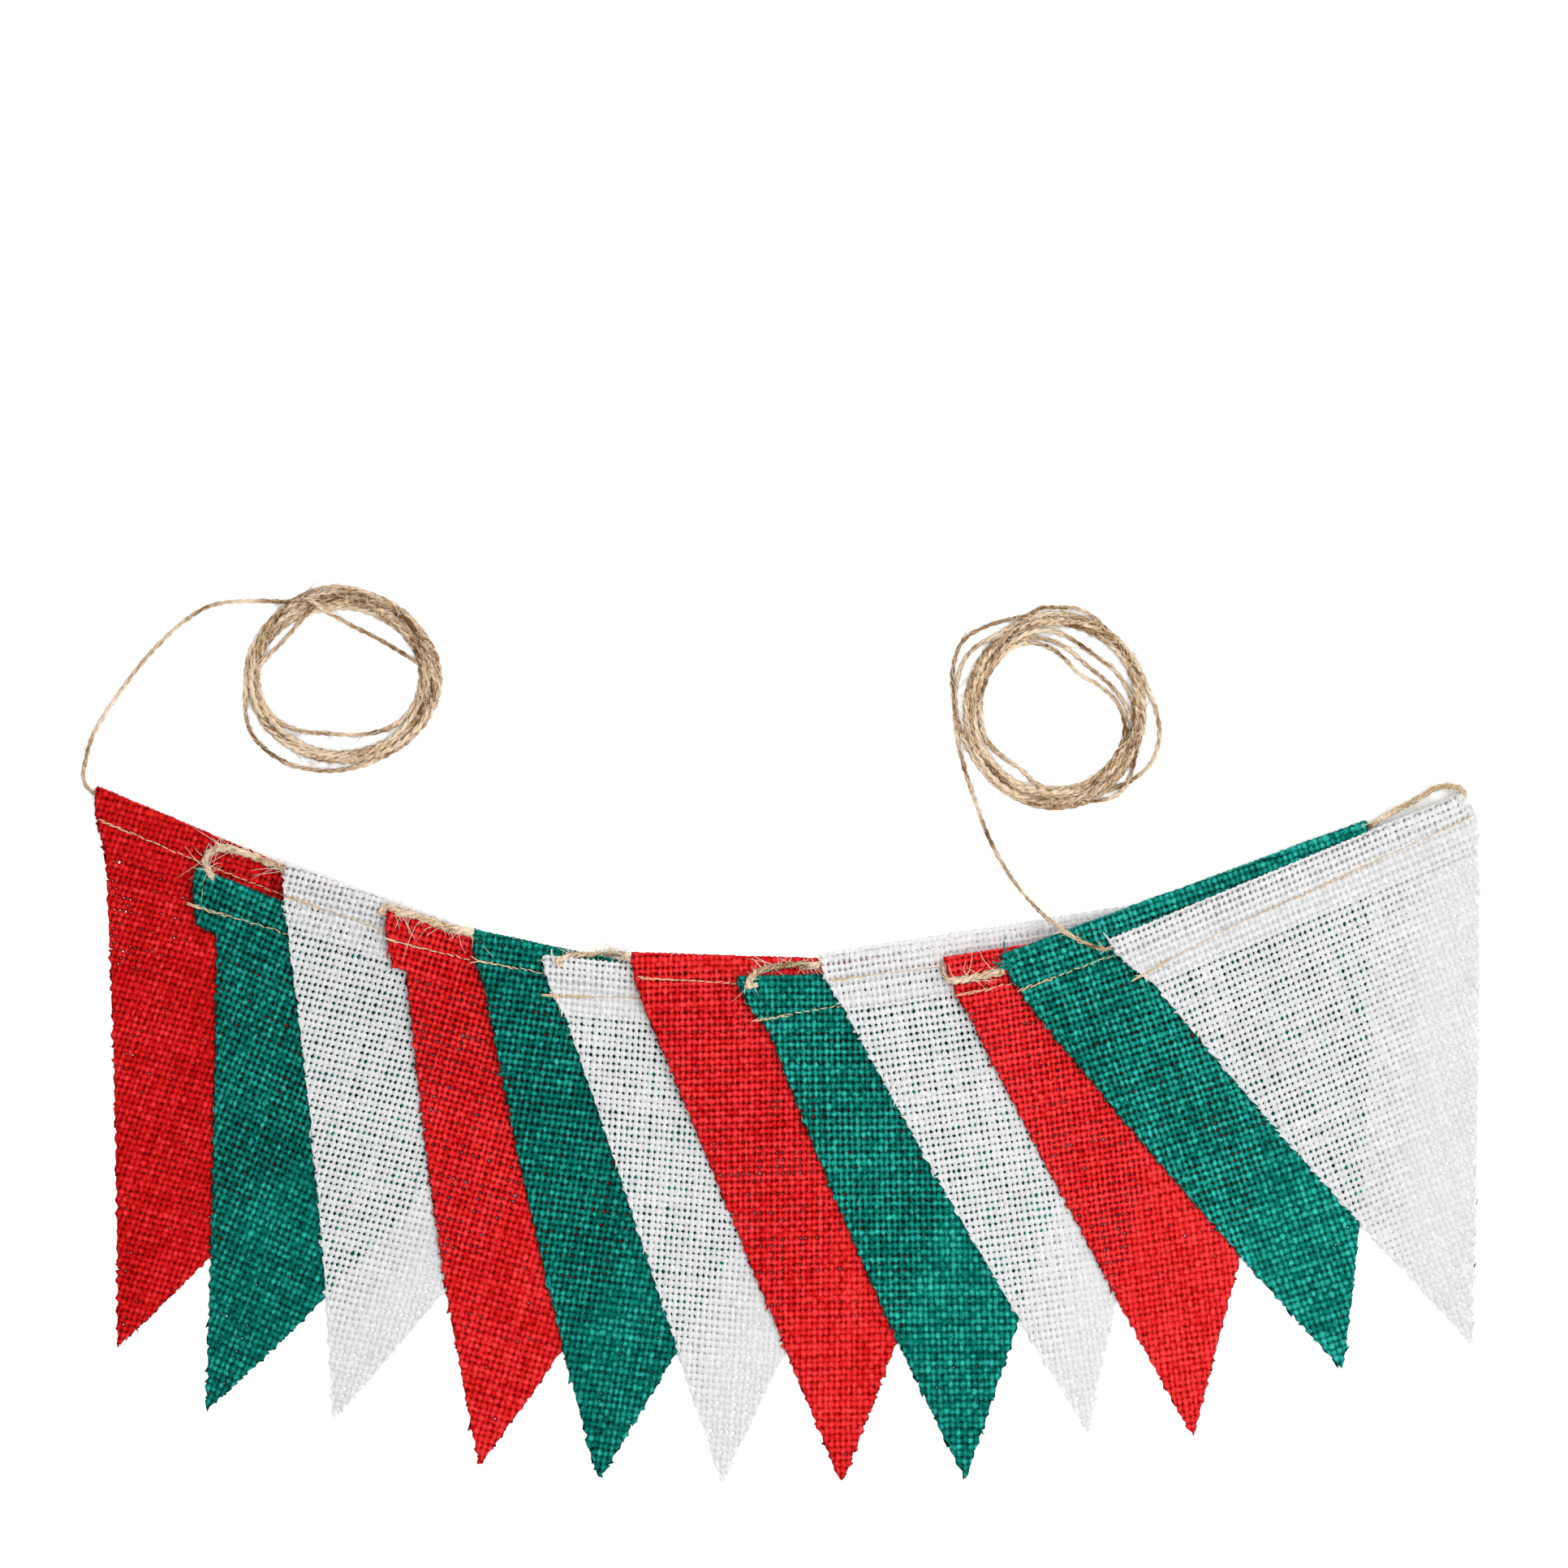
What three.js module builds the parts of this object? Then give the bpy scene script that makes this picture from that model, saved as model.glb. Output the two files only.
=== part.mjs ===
import * as THREE from "three";

// Burlap bunting of twelve pennants on one jute twine, folded back and forth into a fan.
// It lies on a table: +X to the right, +Y towards the twine coils, +Z up. Millimetres.

// Pennants
const foldLength = 140; // folded top edge
const cloth = 1.0; // burlap thickness
const hem = 20; // fold to the hem's raw edge
const hemStep = 0.6; // run of the slope where the hem ends
const seam = 12; // fold to the line of stitching
const flap = (seam + hem) / 2; // middle of the hem's free margin
const bluntTip = 3; // cut off the very point

// Twine and the channel it runs in
const twine = 1.5;
const play = 0.3; // air between pieces that touch
const channel = twine + 2.5 * play; // height of the channel under the fold
const casing = 2 * cloth + channel; // height of the hem over the twine
const axisDrop = 3.2; // fold to the twine's axis
const ridge = 5.5; // fold to where the hem starts to fall to its seam
const axisLift = cloth + channel / 2; // underside to the twine's axis
const radius = twine / 2;

// How the layers lie on each other
const loft = 0.7; // air between one layer and the next
const cell = 4; // grid on which the heights are kept
const bridge = 2; // cells over which stiff burlap bridges a step
const grid = { x: -280, y: -152, columns: 141, rows: 77 };

// Where each pennant lies. x and y are the left end of its fold, turn is clockwise in degrees,
// lean and drop place the tip along and below the fold, corner and step are how far the left side
// is set in at the hem and below it, and the bows are how far each side swells towards the right.
// The last one is cut a little wider than the others.
const pennants = [
  [-247.5, 124, 23, 84.8, 182, 1.5, 1.5, 1.8, 7, "red"],
  [-212, 95.5, 22.5, 77.5, 179, 0, 8, 0.7, 6, "green"],
  [-180, 95.5, 20, 83.5, 181, -3, -3, 2.8, 4, "white"],
  [-143.4, 81, 17.5, 91, 181, 0, 5.5, -4, 3.5, "red"],
  [-112.5, 73, 12, 84, 184, 0, 0, -2.8, 3, "green"],
  [-88, 64, 6, 83, 182, 0, 0.5, 0.3, 2.5, "white"],
  [-56.6, 65, 2, 81.5, 188, -3.5, -3.5, 0, 2.5, "red"],
  [-19, 56.5, -1, 78.5, 182, 4.5, 4.5, -3.6, 1, "green"],
  [9.8, 63, -8.5, 70.5, 183, -0.5, -0.5, -1.8, -0.5, "white"],
  [54.3, 63.1, -8.5, 63.3, 183.5, -1.5, -1.5, -1, 0.5, "red"],
  [74.4, 64, -20, 64.8, 182, -3, -3, -2, 5, "green"],
  [113.3, 68.3, -22.3, 66, 182.5, 3.2, 3.2, -2, 1.2, "white", 143.6],
].map(([x, y, turn, lean, drop, corner, step, leftBow, rightBow, dye, fold = foldLength]) => ({
  x, y, turn: THREE.MathUtils.degToRad(turn), lean, drop, corner, step, leftBow, rightBow, dye, fold,
}));
const hemCurve = 1.6; // the hem's left side stays upright near the fold

// Free ends of the twine: points that each lead passes on its way to its coil, x and y
const leftRoute = [
  [-252.5, 127], [-251.5, 134], [-248.5, 143.5], [-237, 161], [-228.5, 171.5],
  [-215, 184], [-205, 189], [-191.5, 190], [-179.5, 189.8],
];
const rightRoute = [
  [106, 67.5], [99, 71.5], [93, 75.5], [85, 83.5], [77.5, 93.5], [71, 105.5], [66.5, 117.5],
  [62.5, 129.5], [59.5, 142.5], [58.5, 155.5], [58, 164.5], [61.5, 175.5], [70, 181], [85, 185],
];
const coils = [
  { name: "twine_coil_left", x: -160.5, y: 162.5, halfWidth: 31.5, halfDepth: 28, bundle: 8, high: 5 },
  { name: "twine_coil_right", x: 94.5, y: 151, halfWidth: 30, halfDepth: 31, bundle: 8, high: 5 },
];

// Mesh density
const across = 9; // strips across a pennant
const along = 9; // strips down a pennant below its hem
const alongPower = 1.3; // closer together near the hem
const twineSides = 6;
const loopSteps = 16;
const leadSides = 8;
const leadStep = 3 * twine;
const coilSegments = 28;
const coilSides = 12;

// Outline of a pennant: u runs along its fold, v down from it
function side(pennant, v, start, bow) {
  const part = v / pennant.drop;
  return start * (1 - part) + pennant.lean * part + 4 * bow * part * (1 - part);
}

function leftEdge(pennant, v) {
  if (v > hem) return side(pennant, v, pennant.step, pennant.leftBow);
  return side(pennant, hem, pennant.corner, pennant.leftBow) * (Math.max(v, 0) / hem) ** hemCurve;
}

function rightEdge(pennant, v) {
  return side(pennant, v, pennant.fold, pennant.rightBow);
}

function toPlan({ x, y, turn }, u, v) {
  return [
    x + u * Math.cos(turn) - v * Math.sin(turn),
    y - u * Math.sin(turn) - v * Math.cos(turn),
  ];
}

function toPennant(pennant, x, y) {
  const dx = x - pennant.x;
  const dy = y - pennant.y;
  return [
    dx * Math.cos(pennant.turn) - dy * Math.sin(pennant.turn),
    -dx * Math.sin(pennant.turn) - dy * Math.cos(pennant.turn),
  ];
}

// The hem from its fold down: distance from the fold, height above the underside
const hemTop = [
  [0, axisLift], [0.5, casing - 1.1], [1.6, casing - 0.2], [axisDrop, casing], [ridge, casing - 0.5],
  [8.5, casing - 1.5], [seam, 2 * cloth], [flap, 2 * cloth], [hem, 2 * cloth], [hem + hemStep, cloth],
];

// Heights of the pile, kept on a grid
const disc = [];
for (let i = -bridge; i <= bridge; i++) {
  for (let j = -bridge; j <= bridge; j++) {
    if (i * i + j * j <= bridge * bridge) disc.push([i, j]);
  }
}

function valueAt(field, i, j) {
  const column = THREE.MathUtils.clamp(i, 0, grid.columns - 1);
  const row = THREE.MathUtils.clamp(j, 0, grid.rows - 1);
  return field[row * grid.columns + column];
}

function eachCell(work) {
  const result = new Float64Array(grid.columns * grid.rows);
  for (let j = 0; j < grid.rows; j++) {
    for (let i = 0; i < grid.columns; i++) result[j * grid.columns + i] = work(i, j);
  }
  return result;
}

// The next layer's underside: it spans every step of the pile below in a smooth slope
function layOver(pile) {
  const raised = eachCell((i, j) => Math.max(...disc.map(([a, b]) => valueAt(pile, i + a, j + b))));
  return eachCell((i, j) => {
    const sum = disc.reduce((total, [a, b]) => total + valueAt(raised, i + a, j + b), 0);
    return sum / disc.length + loft;
  });
}

function heightAt(field, x, y) {
  const column = (x - grid.x) / cell;
  const row = (y - grid.y) / cell;
  const i = Math.floor(column);
  const j = Math.floor(row);
  const near = THREE.MathUtils.lerp(valueAt(field, i, j), valueAt(field, i + 1, j), column - i);
  const far = THREE.MathUtils.lerp(valueAt(field, i, j + 1), valueAt(field, i + 1, j + 1), column - i);
  return THREE.MathUtils.lerp(near, far, row - j);
}

// Underside of a pennant: the hem keeps level across the twine in it
function underside(pennant, u, v) {
  const rows = v > ridge ? [v] : [0, axisDrop, ridge];
  return Math.max(...rows.map((row) => heightAt(pennant.layer, ...toPlan(pennant, u, row))));
}

function thickness(v) {
  const after = hemTop.findIndex(([from]) => from > v);
  if (after < 1) return after < 0 ? cloth : axisLift;
  const [from, low] = hemTop[after - 1];
  const [to, high] = hemTop[after];
  return THREE.MathUtils.mapLinear(v, from, to, low, high);
}

function pilePennant(pile, pennant) {
  const margin = cell / 2;
  return eachCell((i, j) => {
    const below = valueAt(pile, i, j);
    const [u, v] = toPennant(pennant, grid.x + i * cell, grid.y + j * cell);
    if (v < -margin || v > pennant.drop + margin) return below;
    if (u < leftEdge(pennant, v) - margin || u > rightEdge(pennant, v) + margin) return below;
    const thick = Math.max(thickness(v - margin), thickness(v + margin));
    return Math.max(below, underside(pennant, u, v) + thick);
  });
}

function pileTwine(pile, points) {
  return eachCell((i, j) => {
    const here = new THREE.Vector2(grid.x + i * cell, grid.y + j * cell);
    const over = points.filter((p) => here.distanceTo(p) < cell).map((p) => p.z + radius);
    return Math.max(valueAt(pile, i, j), ...over);
  });
}

// A point on a pennant, lifted above its underside
function pointOn(pennant, u, v, lift) {
  return new THREE.Vector3(...toPlan(pennant, u, v), underside(pennant, u, v) + lift);
}

function channelPoint(pennant, part) {
  const left = leftEdge(pennant, axisDrop);
  const u = THREE.MathUtils.lerp(left, rightEdge(pennant, axisDrop), part);
  return pointOn(pennant, u, axisDrop, axisLift);
}

// Loops of twine between neighbouring pennants
const loopOut = 2; // straight run out of a channel
const loopBulge = 3; // how far a loop swings out past the cloth
const loopClear = 3.2; // how far it passes outside a fold
const loopRise = 7; // how far it stands off the fold near a right end
const loopReach = 14; // twine closer than this to a mouth lies outside the next pennant

function atHeight(pennant, u, v, z) {
  const [x, y] = toPlan(pennant, u, v);
  return new THREE.Vector3(x, y, z);
}

function leftLoop(from, to) {
  const start = channelPoint(from, 0);
  const end = channelPoint(to, 0);
  const u = leftEdge(from, axisDrop);
  const middle = (start.z + end.z) / 2;
  return [
    start,
    atHeight(from, u - loopOut, axisDrop, start.z),
    atHeight(from, u - loopBulge, 0, middle),
    atHeight(from, u - loopOut, -loopClear, end.z),
    atHeight(to, -4 * loopOut, axisDrop - radius, end.z),
    atHeight(to, -radius, axisDrop, end.z),
    end,
  ];
}

function rightLoopStart(from, to) {
  const start = channelPoint(from, 1);
  const [u, v] = toPennant(to, start.x, start.y);
  const outside = Math.min(v, -loopClear);
  return [
    start,
    atHeight(from, rightEdge(from, axisDrop) + loopOut, axisDrop, start.z),
    atHeight(to, u + 4 * loopOut, outside, start.z),
    atHeight(to, to.fold - 4 * loopBulge, -loopRise, start.z),
    atHeight(to, to.fold - loopBulge, -loopRise + loopOut, start.z),
  ];
}

function rightLoop(from, to) {
  const end = channelPoint(to, 1);
  const u = rightEdge(to, axisDrop);
  return [
    ...rightLoopStart(from, to),
    atHeight(to, u + loopBulge, 0, end.z),
    atHeight(to, u + loopOut, axisDrop, end.z),
    end,
  ];
}

function smooth(points, steps) {
  return new THREE.CatmullRomCurve3(points, false, "centripetal").getSpacedPoints(steps);
}

// Lay the pennants one on another, with the twine's loops between them
let pile = eachCell(() => -loft);
let previous = null;
const loops = [];
pennants.forEach((pennant, index) => {
  const rightSide = index % 2 === 1;
  if (rightSide) {
    const mouth = new THREE.Vector2(...toPlan(pennant, pennant.fold, axisDrop));
    const under = smooth(rightLoopStart(previous, pennant), loopSteps);
    pile = pileTwine(pile, under.filter((point) => mouth.distanceTo(point) > loopReach));
  }
  pennant.layer = layOver(pile);
  if (previous) {
    const loop = rightSide ? rightLoop(previous, pennant) : leftLoop(previous, pennant);
    loops.push(smooth(loop, loopSteps));
  }
  pile = pilePennant(pile, pennant);
  if (rightSide) pile = pileTwine(pile, loops.at(-1));
  previous = pennant;
});

// Closed solids, skinned over rows of matching loops of points
function area(loop) {
  return THREE.ShapeUtils.area(loop);
}

function wall(index, offset, count, stations) {
  for (let i = 0; i + 1 < stations; i++) {
    for (let j = 0; j < count; j++) {
      const a = offset + i * count + j;
      const b = offset + i * count + ((j + 1) % count);
      index.push(a, b, b + count, a, b + count, a + count);
    }
  }
}

function skin(section, tunnel, outer, inner) {
  const stations = outer.length;
  const innerStart = stations * section.length;
  const index = [];
  wall(index, 0, section.length, stations);
  wall(index, innerStart, tunnel.length, stations);
  const flat = [...section, ...tunnel];
  const place = (station, k) =>
    k < section.length
      ? station * section.length + k
      : innerStart + station * tunnel.length + k - section.length;
  for (const face of THREE.ShapeUtils.triangulateShape([...section], tunnel.length ? [[...tunnel]] : [])) {
    const corners = face.map((k) => flat[k]);
    const [a, b, c] = area(corners) * area(section) > 0 ? face : [...face].reverse();
    index.push(place(0, c), place(0, b), place(0, a));
    index.push(place(stations - 1, a), place(stations - 1, b), place(stations - 1, c));
  }
  const points = [...outer.flat(), ...inner.flat()];
  let volume = 0;
  for (let i = 0; i < index.length; i += 3) {
    const [a, b, c] = [points[index[i]], points[index[i + 1]], points[index[i + 2]]];
    volume += a.dot(new THREE.Vector3().crossVectors(b, c));
  }
  const geometry = new THREE.BufferGeometry().setFromPoints(points);
  geometry.setIndex(volume > 0 ? index : index.reverse());
  geometry.computeVertexNormals();
  return geometry;
}

// A pennant's section from fold to tip: distance from the fold, height above the underside
function pennantSection(pennant) {
  const end = pennant.drop - bluntTip;
  const sheet = [];
  for (let i = 1; i <= along; i++) {
    sheet.push(hem + hemStep + (end - hem - hemStep) * (i / along) ** alongPower);
  }
  const top = [...hemTop, ...sheet.map((v) => [v, cloth])];
  const bottom = [
    ...sheet.toReversed().map((v) => [v, 0]),
    [hem + hemStep, 0], [hem, 0], [flap, 0], [seam, 0], [8.5, 0], [axisDrop, 0], [1.6, 0.2], [0.5, 1.1],
  ];
  return [...top, ...bottom].map(([v, h]) => new THREE.Vector2(v, h));
}

function channelSection() {
  const roof = casing - cloth;
  return [
    [1.2, axisLift], [1.9, cloth + 0.1], [axisDrop, cloth], [8, cloth], [10.8, cloth + 0.1],
    [8.2, roof - 1.4], [ridge - 0.2, roof - 0.5], [axisDrop, roof], [1.9, roof - 0.2],
  ].map(([v, h]) => new THREE.Vector2(v, h));
}

function pennantGeometry(pennant) {
  const section = pennantSection(pennant);
  const tunnel = channelSection();
  const rows = (loop) =>
    Array.from({ length: across + 1 }, (_, i) =>
      loop.map(({ x: v, y: lift }) => {
        const u = THREE.MathUtils.lerp(leftEdge(pennant, v), rightEdge(pennant, v), i / across);
        return pointOn(pennant, u, v, lift);
      }),
    );
  return skin(section, tunnel, rows(section), rows(tunnel));
}

// Twine through all the channels and loops
function threadedPoints() {
  const points = [];
  pennants.forEach((pennant, index) => {
    const parts = Array.from({ length: across + 1 }, (_, i) => i / across);
    if (index % 2 === 1) parts.reverse();
    points.push(...parts.map((part) => channelPoint(pennant, part)));
    if (loops[index]) points.push(...loops[index].slice(1, -1));
  });
  return points;
}

function polygon(sides, size) {
  return Array.from({ length: sides }, (_, k) => {
    const angle = (2 * Math.PI * k) / sides;
    return new THREE.Vector2(size * Math.cos(angle), size * Math.sin(angle));
  });
}

function threadedTwine(points) {
  const section = polygon(twineSides, radius);
  const rings = points.map((point, i) => {
    const ahead = points[Math.min(i + 1, points.length - 1)];
    const behind = points[Math.max(i - 1, 0)];
    const direction = new THREE.Vector3().subVectors(ahead, behind).normalize();
    const sideways = new THREE.Vector3(-direction.y, direction.x, 0).normalize();
    const upward = new THREE.Vector3().crossVectors(sideways, direction);
    return section.map(({ x, y }) => point.clone().addScaledVector(sideways, x).addScaledVector(upward, y));
  });
  return skin(section, [], rings, []);
}

// Free ends: each lead leaves its channel and comes down on the table beside its coil
function leadGeometry(pennant, route) {
  const mouth = leftEdge(pennant, axisDrop) - play;
  const points = [0, loopOut / 2, loopOut].map((out) => pointOn(pennant, mouth - out, axisDrop, axisLift));
  for (const [x, y] of route) {
    points.push(new THREE.Vector3(x, y, heightAt(pennant.layer, x, y) + radius));
  }
  const bends = smooth(points, 4 * points.length);
  for (const bend of bends) bend.z = Math.max(bend.z, radius);
  const path = new THREE.CatmullRomCurve3(bends, false, "centripetal");
  const steps = Math.ceil(path.getLength() / leadStep);
  const section = new THREE.Shape(polygon(leadSides, radius));
  return new THREE.ExtrudeGeometry(section, { steps, extrudePath: path, bevelEnabled: false });
}

function coilGeometry({ x, y, halfWidth, halfDepth, bundle, high }) {
  const mean = (halfWidth + halfDepth) / 2;
  const profile = polygon(coilSides, 1).map((p) => {
    return new THREE.Vector2(mean + (p.x * bundle) / 2, ((1 + p.y) * high) / 2);
  });
  const ring = new THREE.LatheGeometry([...profile, profile[0].clone()], coilSegments);
  ring.rotateX(Math.PI / 2);
  ring.scale(halfWidth / mean, halfDepth / mean, 1);
  return ring.translate(x, y, 0);
}

// Materials and nodes
const burlap = (color) => new THREE.MeshStandardMaterial({ color, roughness: 0.95, metalness: 0 });
const dyes = { red: burlap(0xc4191f), green: burlap(0x0b6f60), white: burlap(0xe6e5e6) };
const jute = burlap(0xc5a37c);

const bunting = new THREE.Group();
bunting.name = "bunting";

function addPiece(name, geometry, material) {
  const mesh = new THREE.Mesh(geometry, material);
  mesh.name = name;
  bunting.add(mesh);
}

pennants.forEach((pennant, index) => {
  const number = String(index + 1).padStart(2, "0");
  addPiece(`pennant_${number}`, pennantGeometry(pennant), dyes[pennant.dye]);
});
addPiece("twine_threaded", threadedTwine(threadedPoints()), jute);
addPiece("twine_lead_left", leadGeometry(pennants[0], leftRoute), jute);
addPiece("twine_lead_right", leadGeometry(pennants.at(-1), rightRoute), jute);
for (const coil of coils) addPiece(coil.name, coilGeometry(coil), jute);

export default bunting;
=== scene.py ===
"""Looks of the burlap bunting: woven pennants, their stitching and the jute twine.

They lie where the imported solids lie. Lengths are millimetres in the part's own frame, and become
metres where a mesh is made.
"""

import math

import bpy
import numpy as np
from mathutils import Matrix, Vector
from mathutils.bvhtree import BVHTree


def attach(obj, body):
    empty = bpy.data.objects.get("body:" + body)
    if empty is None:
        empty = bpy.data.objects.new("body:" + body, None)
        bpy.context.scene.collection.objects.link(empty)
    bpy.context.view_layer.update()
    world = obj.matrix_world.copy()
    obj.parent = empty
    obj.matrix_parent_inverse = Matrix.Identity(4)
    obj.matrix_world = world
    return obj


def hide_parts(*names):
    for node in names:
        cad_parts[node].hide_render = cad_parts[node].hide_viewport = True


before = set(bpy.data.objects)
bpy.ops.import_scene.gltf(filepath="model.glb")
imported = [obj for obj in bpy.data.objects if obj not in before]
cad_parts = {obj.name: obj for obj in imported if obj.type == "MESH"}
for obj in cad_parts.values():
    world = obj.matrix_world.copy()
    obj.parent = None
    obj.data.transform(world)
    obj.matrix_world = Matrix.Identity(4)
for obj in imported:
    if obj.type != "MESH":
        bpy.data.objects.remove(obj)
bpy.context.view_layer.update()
draws = np.random.default_rng(24)
scene = bpy.context.scene
MM = 0.001

# Pennants, as the solids have them
FOLD_LENGTH = 140.0
CLOTH = 1.0
HEM = 20.0
SEAM = 12.0
BLUNT_TIP = 3.0
SHARP_TIP = 0.6  # the cloth comes closer to a point than the solid

# Twine and the channel that it runs in
TWINE = 1.5
RADIUS = TWINE / 2
PLAY = 0.3
CASING = 2 * CLOTH + TWINE + 2.5 * PLAY
AXIS_DROP = 3.2
AXIS_LIFT = CLOTH + (TWINE + 2.5 * PLAY) / 2
RIDGE = 5.5

# Straight run of the twine out of a channel, and how a loop passes a right end
LOOP_OUT = 2.0
LOOP_BULGE = 3.0
LOOP_CLEAR = 3.2
LOOP_RISE = 7.0

# Where each pennant lies and how it is woven and sewn: x, y, turn, lean, drop, corner, step, left bow,
# right bow, dye, turn of the warp and of the weft (clockwise degrees), spacing of the warp and of the
# weft, distance of the seam from the fold at the left end and 40 mm along
PENNANTS = [
    (-247.5, 124, 23, 84.8, 182, 1.5, 1.5, 1.8, 7, "red", 19.8, 14, 1.97, 2.35, 11, 11),
    (-212, 95.5, 22.5, 77.5, 179, 0, 8, 0.7, 6, "green", 21.5, 25, 2.0, 2.46, 13.9, 10.2),
    (-180, 95.5, 20, 83.5, 181, -3, -3, 2.8, 4, "white", 16, 12.8, 2.07, 2.52, 10.8, 10.6),
    (-143.4, 81, 17.5, 91, 181, 0, 5.5, -4, 3.5, "red", 15.6, 16, 2.07, 2.38, 11.2, 9.4),
    (-112.5, 73, 12, 84, 184, 0, 0, -2.8, 3, "green", 10, 8, 2.06, 2.49, 10.7, 10.3),
    (-88, 64, 6, 83, 182, 0, 0.5, 0.3, 2.5, "white", 4, 6, 2.06, 2.49, 14.4, 11.8),
    (-56.6, 65, 2, 81.5, 188, -3.5, -3.5, 0, 2.5, "red", 0, -2, 2.04, 2.35, 9, 10.2),
    (-19, 56.5, -1, 78.5, 182, 4.5, 4.5, -3.6, 1, "green", -1.6, -0.5, 2.07, 2.49, 17, 11),
    (9.8, 63, -8.5, 70.5, 183, -0.5, -0.5, -1.8, -0.5, "white", -8.3, -8.3, 2.0, 2.55, 9.6, 10.9),
    (54.3, 63.1, -8.5, 63.3, 183.5, -1.5, -1.5, -1, 0.5, "red", -6.5, -10, 1.95, 2.29, 14.2, 12.6),
    (74.4, 64, -20, 64.8, 182, -3, -3, -2, 5, "green", -19, -17.5, 2.03, 2.49, 14.4, 14.3),
    (113.3, 68.3, -22.3, 66, 182.5, 3.2, 3.2, -2, 1.2, "white", -19.5, -22.5, 2.02, 2.52, 16.2, 12.5),
]
HEM_CURVE = 1.6
WIDER = {12: 3.6}  # how much longer a fold is than the others

# How far the twine pulls a fold up, how much further at its right end, and how deep the pull is felt
FOLD_PULL = {3: 1.6, 9: 1.9, 12: 1.6}
LEAST_PULL = 0.4
EARS = {12: 1.4}
EAR_WIDTH = 5.0
PULL_DEPTH = 30.0

# How far the right end of a hem is turned in at the fold, and down to where
TURNED_IN = {12: 7.0}
TURN_DEPTH = 14.0

# Loops of twine that show: the pennant that the twine leaves, where it leaves the channel (share of
# its length), how far the twine has opened up, and plan points to the next pennant's mouth
SHOWN_LOOPS = {
    2: (0.065, 1.9, [(-207.1, 93.2), (-208.9, 96.1), (-207.8, 99.5), (-204.9, 101.3), (-200.8, 101.8),
                      (-196.8, 100.7), (-191.3, 98.7), (-183.7, 95.4), (-180.1, 93.7)]),
    4: (0.0, 2.2, [(-145.3, 79.4), (-143.6, 80.6), (-139.3, 79.2), (-131.8, 77.3), (-120.8, 73.2),
                   (-112.5, 71.3)]),
    6: (0.065, 1.4, [(-83.2, 61.2), (-81.3, 62.7), (-76.7, 63.8), (-70.3, 64), (-64.1, 64), (-57.9, 63.5)]),
    8: (0.065, 1.7, [(-15.4, 53.2), (-13.2, 56.6), (-9.1, 58.9), (-2.2, 60.2), (4.1, 60.6), (9.4, 60.4)]),
    10: (0.0, 1.9, [(56.0, 55.2), (58.6, 54.9), (62.8, 55.5), (70, 57.1), (75.5, 58.2)]),
    11: (1.0, 1.45, [(210.1, 111.7), (215.7, 115), (222.4, 118.5), (228.1, 121.9), (231, 123.5),
                     (234.1, 123.9), (237.6, 123.5), (240.4, 122.2)]),
}

# Free ends of the twine: plan points on each lead, then its coil
LEFT_ROUTE = [
    (-252.5, 127), (-251.5, 134), (-248.5, 143.5), (-237, 161), (-228.5, 171.5),
    (-215, 184), (-205, 189), (-191.5, 190), (-179.5, 189.8),
]
RIGHT_ROUTE = [
    (109.5, 66.5), (106.2, 67.5), (102.6, 69.4), (99, 71.5), (93, 75.5), (85, 83.5), (77.5, 93.5),
    (71, 105.5), (66.5, 117.5), (62.5, 129.5), (59.5, 142.5), (58.5, 155.5), (58, 164.5),
    (61.5, 175.5), (70, 181), (85, 185),
]

# Turns of a coil in the order they are wound: distance out from the middle of the bundle, height
TURN_SLOTS = [
    (1.6, 2.15), (1.6, 2.15), (0.0, 2.15), (-1.6, 2.15), (-3.2, 0.75), (-1.6, 0.75), (0.0, 0.75),
    (1.6, 0.75), (3.2, 0.75), (3.2, 0.75),
]
# Strands that stray from a bundle: turn, angles where one leaves, is furthest and returns, share of
# the coil's size that it strays outwards. Chords cut straight across: turn, where one leaves and returns
LEFT_COIL = {
    "x": -160.5, "y": 162.5, "half_width": 31.5, "half_depth": 28.0, "seat": -10.0, "squeeze": 0.18,
    "strays": [(1, 155, 95, 50, 0.115), (8, 305, 221, 178, 0.195), (4, 332, 262, 205, -0.18)],
    "chords": [(0, 109, 4), (3, 172, 110)],
}
RIGHT_COIL = {
    "x": 94.5, "y": 151.0, "half_width": 30.0, "half_depth": 31.0, "seat": -93.0, "squeeze": 0.0,
    "strays": [
        (0, 120, 77, 40, 0.14), (3, 108, 55, -12, -0.14), (4, 131, 57, -28, -0.395),
        (5, 128, 52, -25, -0.30), (8, 22, -25, -66, 0.19), (1, -20, -53, -88, 0.19),
        (4, 264, 238, 196, -0.095), (8, 215, 150, 122, 0.13),
    ],
    "chords": [],
}

# Camera, straight above the table
PHOTO_CENTRE = (-2.2, 124.7)
PHOTO_WIDTH = 560.3
LENS = 250.0
SENSOR = 36.0


# Meshes from arrays
TABLE_GAP = 0.02
NO_LENGTH = 1e-9
NO_GAP = 1e-6
SPAN_SAMPLES = 24  # points of a curve between two of the points that it goes through


def scatter(amount, shape):
    """Random values about zero, none of them past twice the amount."""
    return amount * draws.standard_normal(shape).clip(-2, 2)


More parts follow.
